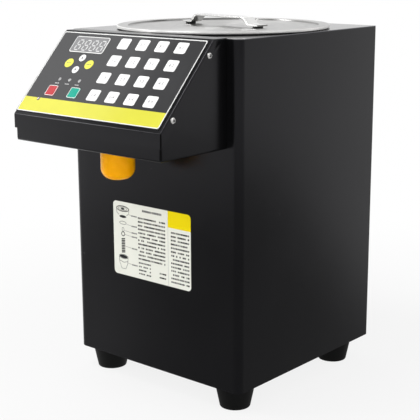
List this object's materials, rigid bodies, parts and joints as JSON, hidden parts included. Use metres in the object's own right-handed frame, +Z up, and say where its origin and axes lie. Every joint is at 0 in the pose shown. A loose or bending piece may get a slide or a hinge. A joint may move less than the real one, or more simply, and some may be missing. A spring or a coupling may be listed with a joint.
{
  "type": "fructose dispenser",
  "caption": "Countertop syrup dispenser: black sheet-steel cabinet on rubber feet, slanted keypad head, orange nozzle cup below it and a round steel tank lid on top.",
  "frame": {"origin": "on the floor, under the middle of the machine's outline", "axes": "+Z up, -Y to the front, where the head and its keypad are, +X across the machine"},
  "size_m": [0.27, 0.3937, 0.4581],
  "materials": {
    "black_paint": "semi-gloss black powder coat on sheet steel",
    "foot_rubber": "moulded black rubber",
    "steel_screws": "zinc plated",
    "nickel_screws": "bright nickel plated",
    "overlay_film": "dark grey polyester film with a yellow band and a white border",
    "window_film": "smoked clear film over the digits",
    "circuit_board": "green solder mask",
    "display_body": "four grey digits in a dark case",
    "led_lens": "small clear lamps",
    "supply_case": "slotted steel case",
    "tank_steel": "stainless steel, inside ground fine",
    "lid_steel": "stainless steel, circular grain",
    "handle_chrome": "polished strip",
    "black_plastic": "black plastic",
    "heater_steel": "band heater sheath",
    "gear_steel": "hardened steel",
    "pump_steel": "stainless steel block",
    "motor_steel": "zinc plated can",
    "bracket_steel": "zinc plated sheet",
    "hose_silicone": "translucent food-grade silicone",
    "valve_plastic": "white food-grade plastic",
    "seal_rubber": "red silicone ring",
    "plunger_plastic": "white plastic",
    "spring_steel": "stainless spring wire",
    "orange_plastic": "glossy orange plastic",
    "label_film": null,
    "rocker_plastic": "red switch rocker",
    "white_key": "white keys with plain numbers",
    "red_key": "red key",
    "green_key": "green key",
    "yellow_key": "yellow keys"
  },
  "bodies": {
    "cabinet": {"body_shell": "black_paint", "top_plate": "black_paint", "base_plate": "black_paint", "rear_cover": "black_paint", "head_housing": "black_paint", "head_cover": "black_paint", "rubber_feet": "foot_rubber", "foot_screws": "steel_screws", "cabinet_screws": "nickel_screws", "keypad_overlay": "overlay_film", "overlay_rivet": "nickel_screws", "display_window": "window_film", "control_board": "circuit_board", "display_module": "display_body", "status_leds": "led_lens", "power_supply": "supply_case", "syrup_tank": "tank_steel", "heater_band": "heater_steel", "pump_body": "pump_steel", "pump_cover": "pump_steel", "pump_motor": "motor_steel", "pump_bracket": "bracket_steel", "suction_hose": "hose_silicone", "delivery_hose": "hose_silicone", "tank_outlet": "tank_steel", "valve_body": "valve_plastic", "front_label": "label_film", "power_inlet": "black_plastic"},
    "lid": {"tank_lid": "lid_steel", "lid_handle": "handle_chrome", "lid_handle_pads": "black_plastic"},
    "nozzle": {"nozzle_cup": "orange_plastic", "valve_o_ring": "seal_rubber", "valve_spring": "spring_steel"},
    "plunger": {"valve_plunger": "plunger_plastic"},
    "pump_drive": {"drive_gear": "gear_steel"},
    "pump_driven": {"driven_gear": "gear_steel"},
    "power_switch": {"power_rocker": "rocker_plastic"},
    "key_1_1_cap": {"key_1_1": "white_key"},
    "key_2_1_cap": {"key_2_1": "white_key"},
    "key_3_1_cap": {"key_3_1": "white_key"},
    "key_4_1_cap": {"key_4_1": "white_key"},
    "key_1_2_cap": {"key_1_2": "white_key"},
    "key_2_2_cap": {"key_2_2": "white_key"},
    "key_3_2_cap": {"key_3_2": "white_key"},
    "key_4_2_cap": {"key_4_2": "white_key"},
    "key_1_3_cap": {"key_1_3": "white_key"},
    "key_2_3_cap": {"key_2_3": "white_key"},
    "key_3_3_cap": {"key_3_3": "white_key"},
    "key_4_3_cap": {"key_4_3": "white_key"},
    "key_1_4_cap": {"key_1_4": "white_key"},
    "key_2_4_cap": {"key_2_4": "white_key"},
    "key_3_4_cap": {"key_3_4": "white_key"},
    "key_4_4_cap": {"key_4_4": "white_key"},
    "stop_key_cap": {"stop_key": "red_key"},
    "start_key_cap": {"start_key": "green_key"},
    "set_key_cap": {"set_key": "yellow_key"},
    "mode_key_cap": {"mode_key": "yellow_key"},
    "arrow_up_key_cap": {"arrow_up_key": "white_key"},
    "arrow_down_key_cap": {"arrow_down_key": "white_key"}
  },
  "joints": [
    {"name": "lid_lift", "type": "slide", "parent": "cabinet", "child": "lid", "axis": [0, 0, 1], "range_m": [0, 0.15]},
    {"name": "nozzle_unscrew", "type": "slide", "parent": "cabinet", "child": "nozzle", "axis": [0, 0, -1], "range_m": [0, 0.03]},
    {"name": "valve_open", "type": "slide", "parent": "nozzle", "child": "plunger", "axis": [0, 0, -1], "range_m": [0, 0.003], "stiffness_N_per_m": 300, "deforming": ["valve_spring"]},
    {"name": "pump_drive_turn", "type": "hinge", "parent": "cabinet", "child": "pump_drive", "pos_m": [0, 0.0104, 0.06615], "axis": [0, 1, 0], "continuous": true},
    {"name": "pump_driven_turn", "type": "hinge", "parent": "cabinet", "child": "pump_driven", "pos_m": [0, 0.0104, 0.09015], "axis": [0, 1, 0], "continuous": true},
    {"name": "rocker_tilt", "type": "hinge", "parent": "cabinet", "child": "power_switch", "pos_m": [-0.072, 0.1932, 0.1], "axis": [1, 0, 0], "range_deg": [0, 16]},
    {"name": "key_1_1_press", "type": "slide", "parent": "cabinet", "child": "key_1_1_cap", "axis": [0, 0.7284, -0.6851], "range_m": [0, 0.00045], "stiffness_N_per_m": 800},
    {"name": "key_2_1_press", "type": "slide", "parent": "cabinet", "child": "key_2_1_cap", "axis": [0, 0.7284, -0.6851], "range_m": [0, 0.00045], "stiffness_N_per_m": 800},
    {"name": "key_3_1_press", "type": "slide", "parent": "cabinet", "child": "key_3_1_cap", "axis": [0, 0.7284, -0.6851], "range_m": [0, 0.00045], "stiffness_N_per_m": 800},
    {"name": "key_4_1_press", "type": "slide", "parent": "cabinet", "child": "key_4_1_cap", "axis": [0, 0.7284, -0.6851], "range_m": [0, 0.00045], "stiffness_N_per_m": 800},
    {"name": "key_1_2_press", "type": "slide", "parent": "cabinet", "child": "key_1_2_cap", "axis": [0, 0.7284, -0.6851], "range_m": [0, 0.00045], "stiffness_N_per_m": 800},
    {"name": "key_2_2_press", "type": "slide", "parent": "cabinet", "child": "key_2_2_cap", "axis": [0, 0.7284, -0.6851], "range_m": [0, 0.00045], "stiffness_N_per_m": 800},
    {"name": "key_3_2_press", "type": "slide", "parent": "cabinet", "child": "key_3_2_cap", "axis": [0, 0.7284, -0.6851], "range_m": [0, 0.00045], "stiffness_N_per_m": 800},
    {"name": "key_4_2_press", "type": "slide", "parent": "cabinet", "child": "key_4_2_cap", "axis": [0, 0.7284, -0.6851], "range_m": [0, 0.00045], "stiffness_N_per_m": 800},
    {"name": "key_1_3_press", "type": "slide", "parent": "cabinet", "child": "key_1_3_cap", "axis": [0, 0.7284, -0.6851], "range_m": [0, 0.00045], "stiffness_N_per_m": 800},
    {"name": "key_2_3_press", "type": "slide", "parent": "cabinet", "child": "key_2_3_cap", "axis": [0, 0.7284, -0.6851], "range_m": [0, 0.00045], "stiffness_N_per_m": 800},
    {"name": "key_3_3_press", "type": "slide", "parent": "cabinet", "child": "key_3_3_cap", "axis": [0, 0.7284, -0.6851], "range_m": [0, 0.00045], "stiffness_N_per_m": 800},
    {"name": "key_4_3_press", "type": "slide", "parent": "cabinet", "child": "key_4_3_cap", "axis": [0, 0.7284, -0.6851], "range_m": [0, 0.00045], "stiffness_N_per_m": 800},
    {"name": "key_1_4_press", "type": "slide", "parent": "cabinet", "child": "key_1_4_cap", "axis": [0, 0.7284, -0.6851], "range_m": [0, 0.00045], "stiffness_N_per_m": 800},
    {"name": "key_2_4_press", "type": "slide", "parent": "cabinet", "child": "key_2_4_cap", "axis": [0, 0.7284, -0.6851], "range_m": [0, 0.00045], "stiffness_N_per_m": 800},
    {"name": "key_3_4_press", "type": "slide", "parent": "cabinet", "child": "key_3_4_cap", "axis": [0, 0.7284, -0.6851], "range_m": [0, 0.00045], "stiffness_N_per_m": 800},
    {"name": "key_4_4_press", "type": "slide", "parent": "cabinet", "child": "key_4_4_cap", "axis": [0, 0.7284, -0.6851], "range_m": [0, 0.00045], "stiffness_N_per_m": 800},
    {"name": "stop_key_press", "type": "slide", "parent": "cabinet", "child": "stop_key_cap", "axis": [0, 0.7284, -0.6851], "range_m": [0, 0.00045], "stiffness_N_per_m": 800},
    {"name": "start_key_press", "type": "slide", "parent": "cabinet", "child": "start_key_cap", "axis": [0, 0.7284, -0.6851], "range_m": [0, 0.00045], "stiffness_N_per_m": 800},
    {"name": "set_key_press", "type": "slide", "parent": "cabinet", "child": "set_key_cap", "axis": [0, 0.7284, -0.6851], "range_m": [0, 0.00045], "stiffness_N_per_m": 800},
    {"name": "mode_key_press", "type": "slide", "parent": "cabinet", "child": "mode_key_cap", "axis": [0, 0.7284, -0.6851], "range_m": [0, 0.00045], "stiffness_N_per_m": 800},
    {"name": "arrow_up_key_press", "type": "slide", "parent": "cabinet", "child": "arrow_up_key_cap", "axis": [0, 0.7284, -0.6851], "range_m": [0, 0.00045], "stiffness_N_per_m": 800},
    {"name": "arrow_down_key_press", "type": "slide", "parent": "cabinet", "child": "arrow_down_key_cap", "axis": [0, 0.7284, -0.6851], "range_m": [0, 0.00045], "stiffness_N_per_m": 800}
  ],
  "couplings": [
    {"joint": "pump_driven_turn", "follows": "pump_drive_turn", "ratio": -1}
  ]
}
